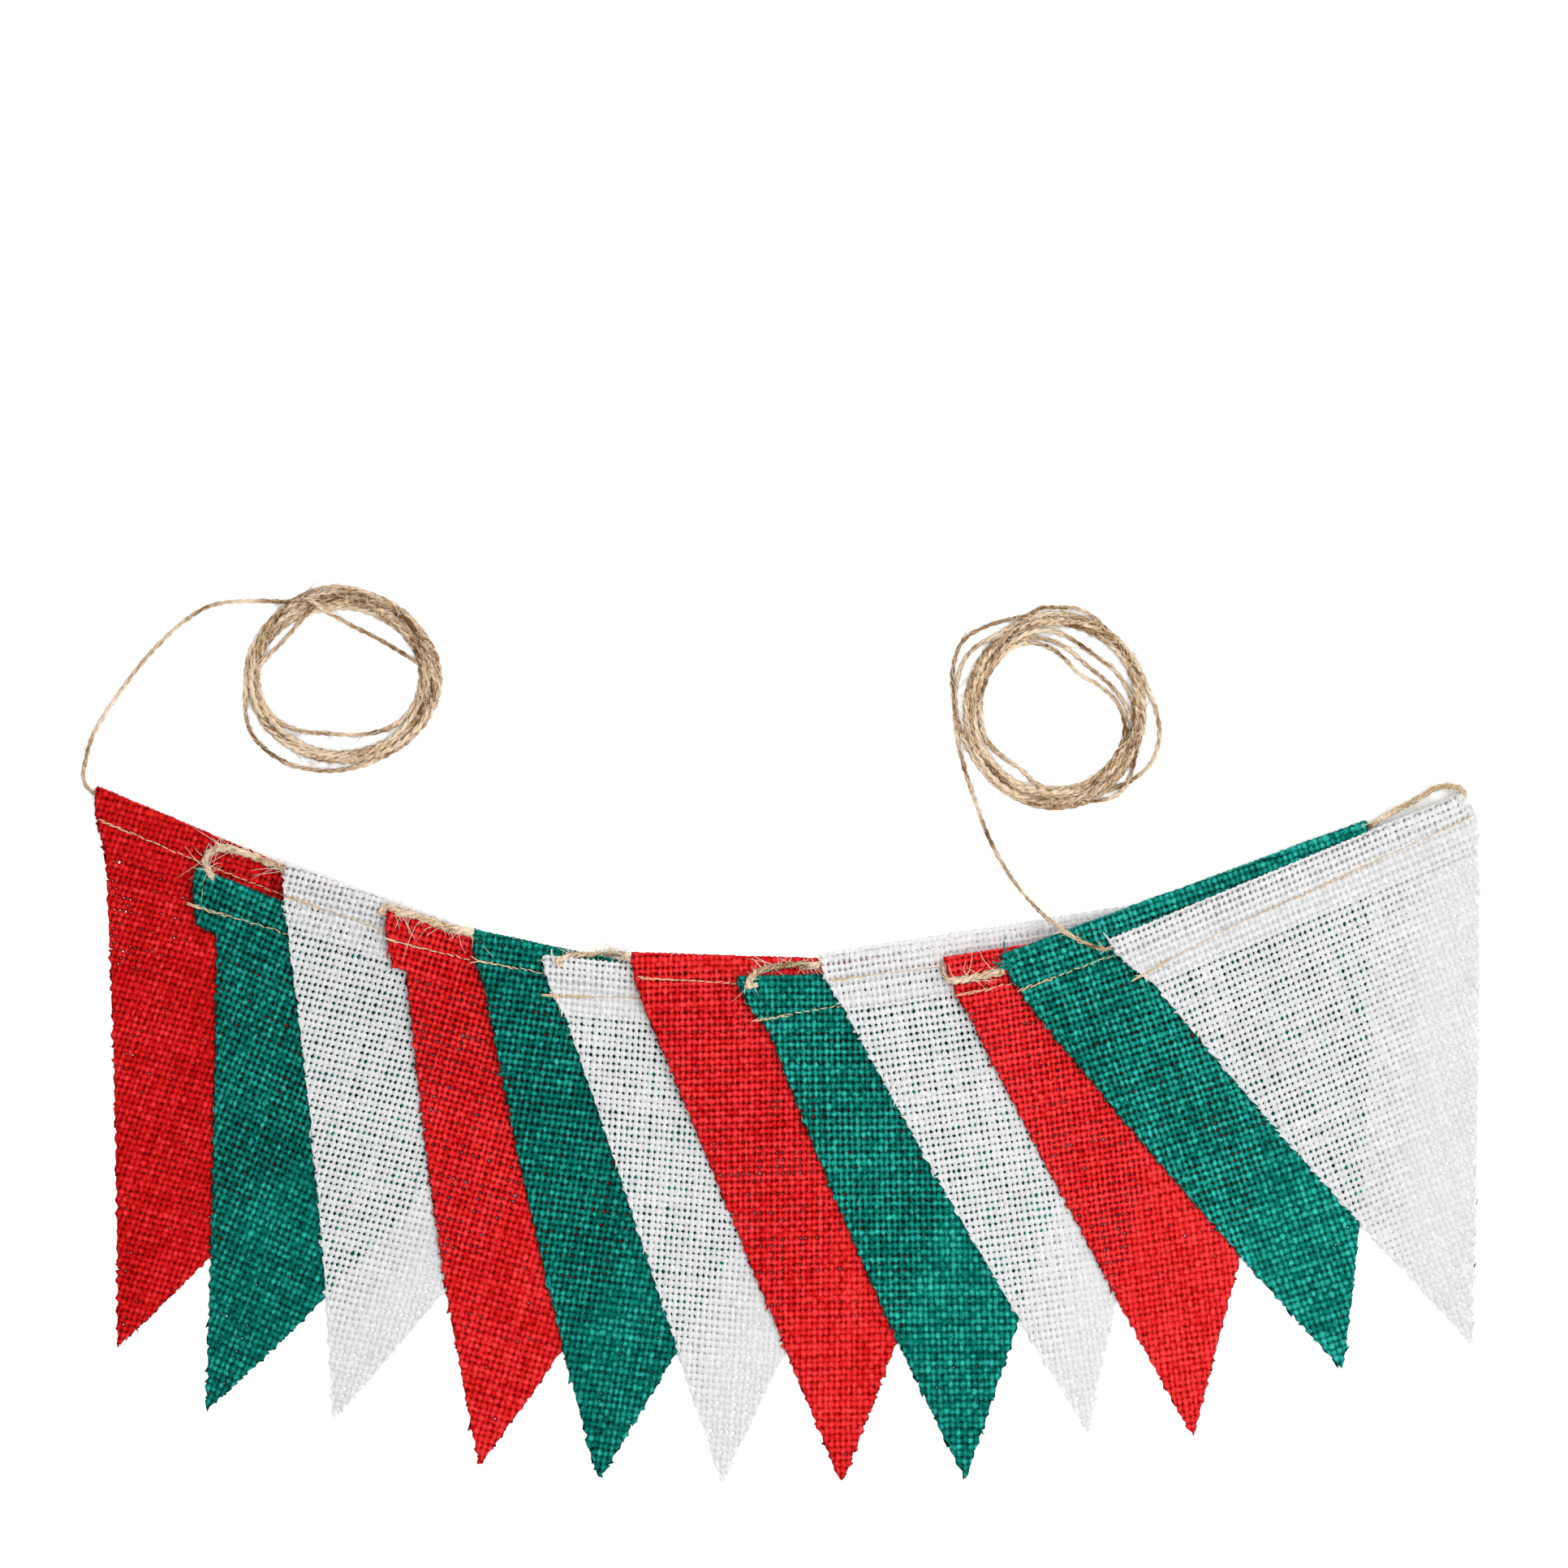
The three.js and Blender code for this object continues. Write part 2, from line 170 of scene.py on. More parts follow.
def new_piece(name, points, quads, triangles, material, uv=None, shade=None, smooth=True):
    """A mesh object; uv has a pair for each corner, shade a value for each point."""
    mesh = bpy.data.meshes.new(name)
    mesh.vertices.add(len(points))
    points[:, 2] = np.maximum(points[:, 2], TABLE_GAP)
    mesh.vertices.foreach_set("co", (points * MM).astype(np.float32).ravel())
    corners = np.concatenate([quads.ravel(), triangles.ravel()]).astype(np.int32)
    mesh.loops.add(len(corners))
    mesh.loops.foreach_set("vertex_index", corners)
    quad_starts = np.arange(len(quads)) * 4
    triangle_starts = len(quads) * 4 + np.arange(len(triangles)) * 3
    starts = np.concatenate([quad_starts, triangle_starts]).astype(np.int32)
    mesh.polygons.add(len(starts))
    mesh.polygons.foreach_set("loop_start", starts)
    if uv is not None:
        layer = mesh.uv_layers.new(name="threads")
        layer.data.foreach_set("uv", uv.astype(np.float32).ravel())
    if shade is not None:
        attribute = mesh.attributes.new("shade", "FLOAT", "POINT")
        attribute.data.foreach_set("value", shade.astype(np.float32))
    mesh.update(calc_edges=True)
    mesh.validate()
    if smooth:
        mesh.shade_smooth()
    else:
        mesh.shade_flat()
    mesh.materials.append(material)
    piece = bpy.data.objects.new(name, mesh)
    scene.collection.objects.link(piece)
    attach(piece, "root")
    return piece


def unit(vectors):
    return vectors / np.maximum(np.linalg.norm(vectors, axis=-1, keepdims=True), NO_LENGTH)


def run_directions(centres, linked):
    """Direction of each ring's strand, where linked says that a ring is followed by the next one."""
    step = centres[1:] - centres[:-1]
    step[~linked] = 0
    ahead = np.vstack([step, np.zeros(3)])
    behind = np.vstack([np.zeros(3), step])
    return unit(ahead + behind)


def strands(centres, labels, normals, profile, widths, heights, slants=0.0):
    """Closed strands of one cross-section: points, quads, end caps and uv.

    Rings with the same label make one strand. The profile's points are given across and up, and are
    scaled by each ring's width and height. A ring's slant is how far it moves along for each step across.
    """
    sides = len(profile)
    count = len(centres)
    linked = labels[1:] == labels[:-1]
    direction = run_directions(centres, linked)
    across = unit(np.cross(direction, normals))
    up = np.cross(across, direction)
    points = np.empty((count, sides, 3))
    for corner, (x, y) in enumerate(profile):
        points[:, corner] = centres + across * (x * widths)[:, None] + up * (y * heights)[:, None]
        points[:, corner] += direction * (x * widths * slants)[:, None]
    rings = np.flatnonzero(linked)
    corner = np.arange(sides)
    ahead = (corner + 1) % sides
    base = rings[:, None] * sides
    quads = np.stack([base + corner, base + ahead, base + sides + ahead, base + sides + corner], -1)
    starts = np.flatnonzero(np.r_[True, ~linked])
    ends = np.flatnonzero(np.r_[~linked, True])
    fan = np.arange(1, sides - 1)
    head = np.stack(np.broadcast_arrays(starts[:, None] * sides, starts[:, None] * sides + fan + 1,
                                        starts[:, None] * sides + fan), -1)
    tail = np.stack(np.broadcast_arrays(ends[:, None] * sides, ends[:, None] * sides + fan,
                                        ends[:, None] * sides + fan + 1), -1)
    triangles = np.concatenate([head.reshape(-1, 3), tail.reshape(-1, 3)])
    length = np.r_[0, np.cumsum(np.linalg.norm(np.diff(centres, axis=0), axis=1) * linked)]
    around = np.broadcast_to(corner / sides, (len(rings), sides))
    beyond = around + 1 / sides
    here = np.broadcast_to(length[rings][:, None], around.shape)
    there = np.broadcast_to(length[rings + 1][:, None], around.shape)
    uv = np.stack([np.stack([around, here], -1), np.stack([beyond, here], -1),
                   np.stack([beyond, there], -1), np.stack([around, there], -1)], 2)
    cap_uv = np.zeros((len(triangles) * 3, 2))
    uv = np.concatenate([uv.reshape(-1, 2), cap_uv])
    return points.reshape(-1, 3), quads.reshape(-1, 4), triangles, uv


def polygon(sides):
    angles = 2 * math.pi * np.arange(sides) / sides
    return np.stack([np.cos(angles), np.sin(angles)], -1)


def smooth_path(points, step):
    """A centripetal Catmull-Rom curve through the points, at even steps."""
    points = np.asarray(points, float)
    first = 2 * points[0] - points[1]
    last = 2 * points[-1] - points[-2]
    knots = np.vstack([first, points, last])
    gaps = np.sqrt(np.linalg.norm(np.diff(knots, axis=0), axis=1))
    times = np.r_[0, np.cumsum(np.maximum(gaps, NO_GAP))]
    pieces = []
    for i in range(1, len(knots) - 2):
        t = np.linspace(times[i], times[i + 1], SPAN_SAMPLES, endpoint=False)[:, None]
        t0, t1, t2, t3 = times[i - 1:i + 3]
        k0, k1, k2, k3 = knots[i - 1:i + 3]
        a = (k0 * (t1 - t) + k1 * (t - t0)) / (t1 - t0)
        b = (k1 * (t2 - t) + k2 * (t - t1)) / (t2 - t1)
        c = (k2 * (t3 - t) + k3 * (t - t2)) / (t3 - t2)
        d = (a * (t2 - t) + b * (t - t0)) / (t2 - t0)
        e = (b * (t3 - t) + c * (t - t1)) / (t3 - t1)
        pieces.append((d * (t2 - t) + e * (t - t1)) / (t2 - t1))
    return even_steps(np.vstack([*pieces, points[-1:]]), step)


def even_steps(path, step):
    travelled = np.r_[0, np.cumsum(np.linalg.norm(np.diff(path, axis=0), axis=1))]
    count = max(2, int(round(travelled[-1] / step)) + 1)
    at = np.linspace(0, travelled[-1], count)
    return np.stack([np.interp(at, travelled, path[:, axis]) for axis in range(3)], -1)


def smooth_step(x):
    x = np.clip(x, 0, 1)
    return x * x * (3 - 2 * x)


# Materials
STREAK_SHARE = 0.55  # of the change of tone in dyed burlap
CLOUD_SHARE = 0.2
BUMP_DEPTH = 0.0002


def shader(material):
    return material.node_tree.nodes["Principled BSDF"]


def new_material(name, roughness, sheen):
    material = bpy.data.materials.new(name)
    material.use_nodes = True
    bsdf = shader(material)
    bsdf.inputs["Roughness"].default_value = roughness
    bsdf.inputs["Sheen Weight"].default_value = sheen
    bsdf.inputs["Sheen Roughness"].default_value = 0.5
    bsdf.inputs["Specular IOR Level"].default_value = 0.03
    return material


def fibre_noise(material, around, along, detail):
    """Noise drawn out along each strand, from the strand's own coordinates."""
    nodes, links = material.node_tree.nodes, material.node_tree.links
    threads = nodes.new("ShaderNodeUVMap")
    threads.uv_map = "threads"
    stretch = nodes.new("ShaderNodeMapping")
    stretch.inputs["Scale"].default_value = (around, along, 1)
    noise = nodes.new("ShaderNodeTexNoise")
    noise.inputs["Scale"].default_value = 1.0
    noise.inputs["Detail"].default_value = detail
    links.new(threads.outputs["UV"], stretch.inputs["Vector"])
    links.new(stretch.outputs["Vector"], noise.inputs["Vector"])
    return noise.outputs["Fac"]


def shade_value(material):
    """The tone that each point of a mesh was given."""
    tone = material.node_tree.nodes.new("ShaderNodeAttribute")
    tone.attribute_name = "shade"
    return tone.outputs["Fac"]


def add_share(material, value, share, total):
    """A share of one value on top of another."""
    nodes, links = material.node_tree.nodes, material.node_tree.links
    added = nodes.new("ShaderNodeMath")
    added.operation = "MULTIPLY_ADD"
    added.inputs[1].default_value = share
    links.new(value, added.inputs[0])
    links.new(total, added.inputs[2])
    return added.outputs[0]


def colour_by(material, value, dark, middle, bright):
    """Base colour from three stops, each a position and a colour."""
    nodes, links = material.node_tree.nodes, material.node_tree.links
    ramp = nodes.new("ShaderNodeValToRGB")
    stops = ramp.color_ramp.elements
    for stop, (position, colour) in zip(stops, (dark, bright)):
        stop.position = position
        stop.color = (*colour, 1)
    stops.new(middle[0]).color = (*middle[1], 1)
    links.new(value, ramp.inputs["Fac"])
    links.new(ramp.outputs["Color"], shader(material).inputs["Base Color"])
    return ramp.outputs["Color"]


def fibre_relief(material, streak, strength):
    nodes, links = material.node_tree.nodes, material.node_tree.links
    bump = nodes.new("ShaderNodeBump")
    bump.inputs["Strength"].default_value = strength
    bump.inputs["Distance"].default_value = BUMP_DEPTH
    links.new(streak, bump.inputs["Height"])
    links.new(bump.outputs["Normal"], shader(material).inputs["Normal"])


def burlap(name, dark, middle, bright, sheer):
    """Dyed burlap: every yarn has its own tone, with streaks of fibre and slow changes of dye; the tone
    given to each point also holds painted highlight and painted shade.

    Sheer is the share of the light that passes through a yarn.
    """
    material = new_material(name, roughness=0.9, sheen=0.0)
    nodes, links = material.node_tree.nodes, material.node_tree.links
    streak = fibre_noise(material, around=7.0, along=0.9, detail=3.0)
    cloud = nodes.new("ShaderNodeTexNoise")
    cloud.inputs["Scale"].default_value = 45.0
    cloud.inputs["Detail"].default_value = 3.0
    place = nodes.new("ShaderNodeTexCoord")
    links.new(place.outputs["Object"], cloud.inputs["Vector"])
    with_streak = add_share(material, streak, STREAK_SHARE, shade_value(material))
    with_cloud = add_share(material, cloud.outputs["Fac"], CLOUD_SHARE, with_streak)
    colour = colour_by(material, with_cloud, (0.2, dark), (0.55, middle), (0.95, bright))
    fibre_relief(material, streak, strength=0.5)
    if sheer:
        through = nodes.new("ShaderNodeBsdfTranslucent")
        links.new(colour, through.inputs["Color"])
        both = nodes.new("ShaderNodeMixShader")
        both.inputs["Fac"].default_value = sheer
        links.new(shader(material).outputs["BSDF"], both.inputs[1])
        links.new(through.outputs["BSDF"], both.inputs[2])
        links.new(both.outputs["Shader"], nodes["Material Output"].inputs["Surface"])
    return material


def jute(name, dark, middle, bright):
    """Raw jute: pale and brown fibres side by side along each ply."""
    material = new_material(name, roughness=0.85, sheen=0.04)
    nodes, links = material.node_tree.nodes, material.node_tree.links
    streak = fibre_noise(material, around=5.0, along=0.5, detail=4.0)
    with_tone = nodes.new("ShaderNodeMath")
    links.new(streak, with_tone.inputs[0])
    links.new(shade_value(material), with_tone.inputs[1])
    colour_by(material, with_tone.outputs[0], (0.28, dark), (0.5, middle), (0.72, bright))
    fibre_relief(material, streak, strength=0.6)
    return material


BURLAP = {
    "red": burlap("red_burlap", (0.25, 0.001, 0.001), (0.55, 0.007, 0.008), (0.83, 0.05, 0.054), 0.0),
    "green": burlap("green_burlap", (0.0003, 0.028, 0.021), (0.001, 0.142, 0.11), (0.035, 0.52, 0.43), 0.0),
    "white": burlap("white_burlap", (0.63, 0.63, 0.637), (0.74, 0.74, 0.746), (0.87, 0.87, 0.876), 0.3),
}
JUTE = jute("jute_twine", (0.14, 0.07, 0.026), (0.43, 0.288, 0.165), (0.74, 0.6, 0.44))
FIBRE = jute("loose_fibre", (0.62, 0.5, 0.37), (0.8, 0.69, 0.55), (0.9, 0.83, 0.73))
THREAD = jute("sewing_thread", (0.5, 0.33, 0.18), (0.68, 0.5, 0.32), (0.82, 0.66, 0.47))


# A pennant's cloth: u runs along its fold, v down from it, and p is the distance measured in the
# cloth itself, from the hem's raw edge underneath, round the fold and down to the tip. The section
# has v and the height of the cloth's middle, on past any tip
HEM_SECTION = [
    (HEM, CLOTH / 2), (SEAM, CLOTH / 2), (AXIS_DROP, CLOTH / 2), (1.5, CLOTH / 2 + 0.2),
    (0.75, CLOTH / 2 + 0.8), (0.55, AXIS_LIFT), (0.75, CASING - CLOTH / 2 - 0.8),
    (1.6, CASING - CLOTH / 2 - 0.15), (AXIS_DROP, CASING - CLOTH / 2), (RIDGE, CASING - CLOTH / 2 - 0.5),
    (8.5, CASING - CLOTH / 2 - 1.5), (SEAM, 1.5 * CLOTH), (HEM, 1.5 * CLOTH), (HEM + 1.5, CLOTH / 2),
    (HEM + 4, CLOTH / 2), (HEM + 400, CLOTH / 2),
]
SECTION_STEP = 0.3

# Grid on which a solid's underside is felt
UNDERSIDE_ROWS = 48
UNDERSIDE_COLUMNS = 24
SIDE_INSET = 0.02  # share of the width
TIP_INSET = 1.0
SMOOTHINGS = 2
LAST_CELL = 1.001  # keeps a place on the grid inside its last cell

section = smooth_path([(v, lift, 0) for v, lift in HEM_SECTION[:-1]], SECTION_STEP)[:, :2]
section = np.vstack([section, HEM_SECTION[-1]])
section_p = np.r_[0, np.cumsum(np.linalg.norm(np.diff(section, axis=0), axis=1))]
section_p += section[-1, 0] - section_p[-1]
tangent = unit(np.gradient(section, axis=0))
section_normal = np.stack([-tangent[:, 1], tangent[:, 0]], -1)


class Pennant:
    """One pennant: its outline, the way its solid lies, and points on its cloth."""

    def __init__(self, number, row):
        (self.x, self.y, turn, self.lean, self.drop, self.corner, self.step, self.left_bow,
         self.right_bow, self.dye, warp_turn, weft_turn, self.warp_pitch, self.weft_pitch, *self.seam) = row
        self.number = number
        self.fold = FOLD_LENGTH + WIDER.get(number, 0)
        self.node = f"pennant_{number:02d}"
        self.turn = math.radians(turn)
        self.warp_skew = math.radians(warp_turn - turn)
        self.weft_skew = math.radians(weft_turn - turn)
        self.first_p = section_p[0]
        self.last_p = self.drop - SHARP_TIP
        self.read_underside()

    def side(self, v, start, bow):
        """A side from its start at the fold to the tip, swelling by the bow halfway."""
        part = v / self.drop
        return start * (1 - part) + self.lean * part + 4 * bow * part * (1 - part)

    def left_edge(self, v):
        hem_side = self.side(HEM, self.corner, self.left_bow) * (np.maximum(v, 0) / HEM) ** HEM_CURVE
        return np.where(v > HEM, self.side(v, self.step, self.left_bow), hem_side)

    def right_edge(self, v):
        near_fold = np.clip(1 - v / TURN_DEPTH, 0, 1) ** HEM_CURVE
        return self.side(v, self.fold, self.right_bow) - TURNED_IN.get(self.number, 0) * near_fold

    def to_plan(self, u, v):
        x = self.x + u * math.cos(self.turn) - v * math.sin(self.turn)
        y = self.y - u * math.sin(self.turn) - v * math.cos(self.turn)
        return x, y

    def from_plan(self, x, y):
        dx, dy = x - self.x, y - self.y
        u = dx * math.cos(self.turn) - dy * math.sin(self.turn)
        v = -dx * math.sin(self.turn) - dy * math.cos(self.turn)
        return u, v

    def read_underside(self):
        """Heights of the solid's underside, on a grid across and down the pennant."""
        self.tree = BVHTree.FromObject(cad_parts[self.node], bpy.context.evaluated_depsgraph_get())
        self.rows = np.linspace(AXIS_DROP, self.drop - BLUNT_TIP - TIP_INSET, UNDERSIDE_ROWS)
        self.columns = np.linspace(0, 1, UNDERSIDE_COLUMNS)
        heights = np.zeros((len(self.columns), len(self.rows)))
        for i, part in enumerate(np.clip(self.columns, SIDE_INSET, 1 - SIDE_INSET)):
            for j, v in enumerate(self.rows):
                left, right = float(self.left_edge(v)), float(self.right_edge(v))
                x, y = self.to_plan(left + (right - left) * part, v)
                hit = self.tree.ray_cast(Vector((x * MM, y * MM, -1)), Vector((0, 0, 1)))[0]
                heights[i, j] = hit.z / MM
        for _ in range(SMOOTHINGS):
            padded = np.pad(heights, 1, mode="edge")
            heights = (padded[:-2, 1:-1] + padded[2:, 1:-1] + 2 * padded[1:-1, 1:-1]) / 4
            padded = np.pad(heights, 1, mode="edge")
            heights = (padded[1:-1, :-2] + padded[1:-1, 2:] + 2 * padded[1:-1, 1:-1]) / 4
        self.heights = heights

    def underside(self, u, v):
        """Height of the solid's underside, between the places where it was felt."""
        v = np.clip(v, self.rows[0], self.rows[-1])
        left, right = self.left_edge(v), self.right_edge(v)
        i = np.clip((u - left) / (right - left), 0, 1) * (len(self.columns) - LAST_CELL)
        j = (v - self.rows[0]) / (self.rows[1] - self.rows[0])
        j = np.clip(j, 0, len(self.rows) - LAST_CELL)
        i0, j0 = i.astype(int), j.astype(int)
        i, j = i - i0, j - j0
        h = self.heights
        near = h[i0, j0] * (1 - i) + h[i0 + 1, j0] * i
        far = h[i0, j0 + 1] * (1 - i) + h[i0 + 1, j0 + 1] * i
        return near * (1 - j) + far * j

    def raised(self, u, v, lift):
        """Points above the underside."""
        u, v = np.broadcast_arrays(np.asarray(u, float), np.asarray(v, float))
        ear = EARS.get(self.number, 0) * smooth_step((u - self.right_edge(v)) / EAR_WIDTH + 1)
        pull = (FOLD_PULL.get(self.number, LEAST_PULL) + ear) * np.clip(1 - v / PULL_DEPTH, 0, 1)
        x, y = self.to_plan(u, v - pull)
        return np.stack([x, y, self.underside(u, v) + lift], -1)

    def on_cloth(self, u, p):
        """Points in the middle of the cloth, and the cloth's outward normals there."""
        v = np.interp(p, section_p, section[:, 0])
        points = self.raised(u, v, np.interp(p, section_p, section[:, 1]))
        down = np.interp(p, section_p, section_normal[:, 0])
        up = np.interp(p, section_p, section_normal[:, 1])
        normals = np.stack([-math.sin(self.turn) * down, -math.cos(self.turn) * down, up], -1)
        return points, unit(normals)

    def margin(self, u, p):
        """How far inside the cut edge a point of the cloth is."""
        v = np.interp(p, section_p, section[:, 0])
        sides = np.minimum(u - self.left_edge(v), self.right_edge(v) - u)
        return np.minimum(sides, np.minimum(p - self.first_p, self.last_p - p))

    def flat_area(self):
        return self.fold * self.drop / 2 + self.fold * HEM


pennants = [Pennant(number + 1, row) for number, row in enumerate(PENNANTS)]


# Camera
camera_data = bpy.data.cameras.new("camera")
camera_data.lens = LENS
camera_data.sensor_width = SENSOR
camera = bpy.data.objects.new("camera", camera_data)
camera.location = (PHOTO_CENTRE[0] * MM, PHOTO_CENTRE[1] * MM, PHOTO_WIDTH * LENS / SENSOR * MM)
scene.collection.objects.link(camera)
scene.camera = camera


# Twine
PLIES = 2
PLY_SIDES = 4
PLY_TWIST = 8.5  # length of one full twist
PLY_RADIUS = 0.48
PLY_OFFSET = 0.32
FIBRE_RADIUS = 0.14
BUNDLE_SWELL = 1.38  # the turns of a coil lie loosely side by side
TONE_LENGTH = 9.0  # along a ply, from one pale or brown stretch to the next
TONE_CHANGE = 0.14
PLY_CHANGE = 0.06
OPEN_TONE = 0.09  # twine that has opened up is paler
PLY_UNEVENNESS = 0.12

# Loose fibres: how they leave the twine, where their rings are and how they taper
FIBRE_ROOT = 0.6  # share of the twine's radius
FIBRE_ALONG = 0.75
FIBRE_OUT = 0.55
FIBRE_CURL = 0.5
FIBRE_RINGS = (0.35, 0.7, 1.0)
FIBRE_TAPER = (1.2, 1.0, 0.8, 0.4)
OUT_FLATNESS = (1, 1, 0.5)
CURL_FLATNESS = (1, 1, 0.3)
FREE_FUZZ = (0.9, 6.0)  # fibres for each millimetre, and the longest of them
LOOP_FUZZ = (3.2, 10.0)

# Steps along the twine
LEAD_STEP = 1.0
LEAD_STRIDE = 4
FREE_STEP = 0.9
LOOP_STEP = 1.0
THREADED_STEP = 1.2
CHANNEL_KNOTS = 10

# Turns of a coil
STEPS_A_TURN = 90
SLOT_CHANGE = 0.25  # last share of a turn, in which it moves on to the next slot
ARRIVAL = 22.0  # degrees in which the lead joins the bundle
CROSSING = 15.0  # degrees past the arrival where the first turn lies over the lead
CROSSING_WIDTH = 12.0
LEAVING = 3.5  # a strand this far off the bundle lies on the table
WANDERS = ((0.35, 9.1, 1.0), (0.25, 23.7, 0.0))  # size, rate and start of each slow wave
UP = np.array([0.0, 0.0, 1.0])


def twisted(path, swell=1.0):
    """The plies of a twine along a path, as parts of one mesh; swell opens the twine up."""
    direction = unit(np.gradient(path, axis=0))
    side = unit(np.cross(direction, UP))
    up = np.cross(side, direction)
    travelled = np.r_[0, np.cumsum(np.linalg.norm(np.diff(path, axis=0), axis=1))]
    swell = np.broadcast_to(swell, len(path))
    centres, labels = [], []
    for ply in range(PLIES):
        angle = 2 * math.pi * (travelled / PLY_TWIST + ply / PLIES)
        offset = side * np.cos(angle)[:, None] + up * np.sin(angle)[:, None]
        centres.append(path + offset * (PLY_OFFSET * swell)[:, None])
        labels.append(np.full(len(path), ply))
    centres, labels = np.vstack(centres), np.concatenate(labels)
    uneven = 1 + scatter(PLY_UNEVENNESS, len(centres))
    size = PLY_RADIUS * uneven * np.tile(swell, PLIES)
    normals = np.broadcast_to(UP, centres.shape)
    marks = np.arange(0, travelled[-1] + TONE_LENGTH, TONE_LENGTH)
    tones = [np.interp(travelled, marks, draws.standard_normal(len(marks))) for _ in range(PLIES + 1)]
    shade = TONE_CHANGE * np.tile(tones[0], PLIES) + PLY_CHANGE * np.concatenate(tones[1:])
    shade += OPEN_TONE * (np.tile(swell, PLIES) - 1)
    made = strands(centres, labels, normals, polygon(PLY_SIDES), size, size)
    return *made, np.repeat(shade, PLY_SIDES)


def fuzz(name, path, density, longest):
    """Loose fibres that stand off a twine."""
    length = np.linalg.norm(np.diff(path, axis=0), axis=1).sum()
    count = int(length * density)
    at = draws.integers(1, len(path) - 1, count)
    along = unit(path[at + 1] - path[at - 1]) * draws.choice([-1, 1], (count, 1))
    out = unit(draws.standard_normal((count, 3)) * OUT_FLATNESS)
    out[:, 2] = np.abs(out[:, 2])
    reach = 1 + (longest - 1) * draws.random((count, 1)) ** 2
    curl = FIBRE_CURL * draws.standard_normal((count, 3)) * CURL_FLATNESS
    away = FIBRE_ALONG * along + FIBRE_OUT * out
    rings = [path[at] + out * RADIUS * FIBRE_ROOT]
    for part in FIBRE_RINGS:
        rings.append(rings[0] + reach * (part * away + part * part * curl))
    centres = np.stack(rings, 1).reshape(-1, 3)
    labels = np.repeat(np.arange(count), len(rings))
    size = FIBRE_RADIUS * np.tile(FIBRE_TAPER, count)
    normals = np.broadcast_to(UP, centres.shape)
    points, quads, triangles, uv = strands(centres, labels, normals, polygon(3), size, size)
    piece = new_piece(name, points, quads, triangles, FIBRE, uv)


def lead_path(pennant, route, node):
    """From a mouth of the channel along the route, at the height where the solid lead lies."""
    mouth = float(pennant.left_edge(AXIS_DROP)) - PLAY
    start = [pennant.raised(mouth - out, AXIS_DROP, AXIS_LIFT) for out in (0, LOOP_OUT / 2, LOOP_OUT)]
    plan = np.vstack([*start, [(x, y, RADIUS) for x, y in route]])
    path = smooth_path(plan, LEAD_STEP)
    tree = BVHTree.FromObject(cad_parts[node], bpy.context.evaluated_depsgraph_get())
    hits = [tree.ray_cast(Vector((x * MM, y * MM, 1)), Vector((0, 0, -1)))[0] for x, y, _ in path]
    known = [i for i, hit in enumerate(hits) if hit is not None]
    heights = [hits[i].z / MM - RADIUS for i in known]
    path[:, 2] = np.maximum(np.interp(np.arange(len(path)), known, heights), RADIUS)
    return path


def stray_share(angle, leaves, furthest, returns):
    """How far a strand has strayed, from 0 where it leaves to 1 and back to 0."""
    rising = smooth_step((leaves - angle) / (leaves - furthest))
    falling = smooth_step((angle - returns) / (furthest - returns))
    return np.where(angle > furthest, rising, falling)


def chord_share(angle, leaves, returns):
    """How far inside a circle a straight chord passes, as a share of the radius."""
    middle = math.radians(leaves + returns) / 2
    half = math.radians(leaves - returns) / 2
    away = np.clip(np.radians(angle) - middle, -half, half)
    return 1 - math.cos(half) / np.cos(away)


def nearest_turn(angle, leaves, returns):
    """The same angles, counted in the turn that lies round the ends given."""
    return angle + 360 * np.round(((leaves + returns) / 2 - angle) / 360)


def coil_path(coil, start):
    """Clockwise turns from where the lead arrives, each in its own slot of the bundle."""
    middle = (coil["half_width"] + coil["half_depth"]) / 2
    dx = (start[0] - coil["x"]) / coil["half_width"]
    dy = (start[1] - coil["y"]) / coil["half_depth"]
    first_angle = math.degrees(math.atan2(dy, dx))
    first_reach = math.hypot(dx, dy)
    turns = len(TURN_SLOTS) - 2
    first = (coil["seat"] - first_angle) / 360
    at = np.arange(first, turns, 1 / STEPS_A_TURN)
    angle = coil["seat"] - 360 * at
    turn = np.floor(at).astype(int) + 1
    change = smooth_step((at - np.floor(at) - (1 - SLOT_CHANGE)) / SLOT_CHANGE)
    slots = np.array(TURN_SLOTS)
    slot = slots[turn] * (1 - change)[:, None] + slots[turn + 1] * change[:, None]
    stray = np.zeros(len(at))
    for number, leaves, furthest, returns, share in coil["strays"]:
        shifted = nearest_turn(angle, leaves, returns)
        stray += share * stray_share(shifted, leaves, furthest, returns) * (turn == number)
    for number, leaves, returns in coil["chords"]:
        shifted = nearest_turn(angle, leaves, returns)
        stray -= chord_share(shifted, leaves, returns) * (turn == number)
    arriving = 1 - smooth_step((first_angle - angle) / ARRIVAL)
    stray += (first_reach - 1 - slot[0, 0] / middle) * arriving
    lean = 1 + coil["squeeze"] * (np.cos(np.radians(angle)) - 1)
    wander = sum(size * np.sin(at * rate + phase) for size, rate, phase in WANDERS)
    out = stray * middle + slot[:, 0] * lean + wander
    off_bundle = smooth_step(np.abs(stray) * middle / LEAVING)
    swell = BUNDLE_SWELL + (1 - BUNDLE_SWELL) * off_bundle
    over = np.exp(-((first_angle - CROSSING - angle) / CROSSING_WIDTH) ** 2) * (TWINE + PLAY)
    height = slot[:, 1] + (RADIUS - slot[:, 1]) * off_bundle + over
    turned = np.radians(angle)
    x = coil["x"] + (coil["half_width"] + out) * np.cos(turned)
    y = coil["y"] + (coil["half_depth"] + out) * np.sin(turned)
    return np.stack([x, y, height], -1), swell


